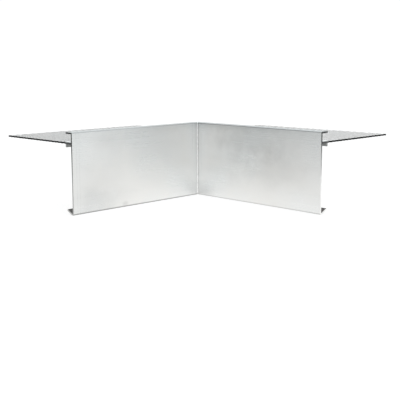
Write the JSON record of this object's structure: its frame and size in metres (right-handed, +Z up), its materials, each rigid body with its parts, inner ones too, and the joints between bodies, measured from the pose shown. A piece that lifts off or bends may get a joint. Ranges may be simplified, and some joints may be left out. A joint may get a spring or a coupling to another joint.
{
  "type": "edge trim inner corner",
  "caption": "Inner corner for an aluminium deck-edge trim: two mitred fascias with top lips, connector slots and drip returns, and perforated fixing flanges behind.",
  "frame": {"origin": "centre of the whole part's footprint, at the height of the fascias' lowest edges; the front corner line stands at x = -0.04, y = 0.04", "axes": "+Z up; +X along the right arm towards its free end, -Y along the left arm towards its free end; the front of the inner corner looks towards +X -Y, and the flanges lie behind, towards +Y and -X"},
  "size_m": [0.42, 0.42, 0.12],
  "materials": {
    "mill_aluminium": "mill finish, fine drawing lines along the profile",
    "perforated_aluminium": "mill finish, punched",
    "weld_metal": "fine rippled beads",
    "folded_aluminium": "plain sheet",
    "glue": "matt cured adhesive"
  },
  "bodies": {
    "root": {"right_fascia_profile": "mill_aluminium", "left_fascia_profile": "mill_aluminium", "right_perforated_flange": "perforated_aluminium", "left_perforated_flange": "perforated_aluminium", "right_flange_seam": "weld_metal", "left_flange_seam": "weld_metal", "corner_mitre_seam": "weld_metal", "corner_backing_angle": "folded_aluminium", "slot_corner_key": "folded_aluminium", "backing_angle_glue": "glue"}
  },
  "joints": []
}
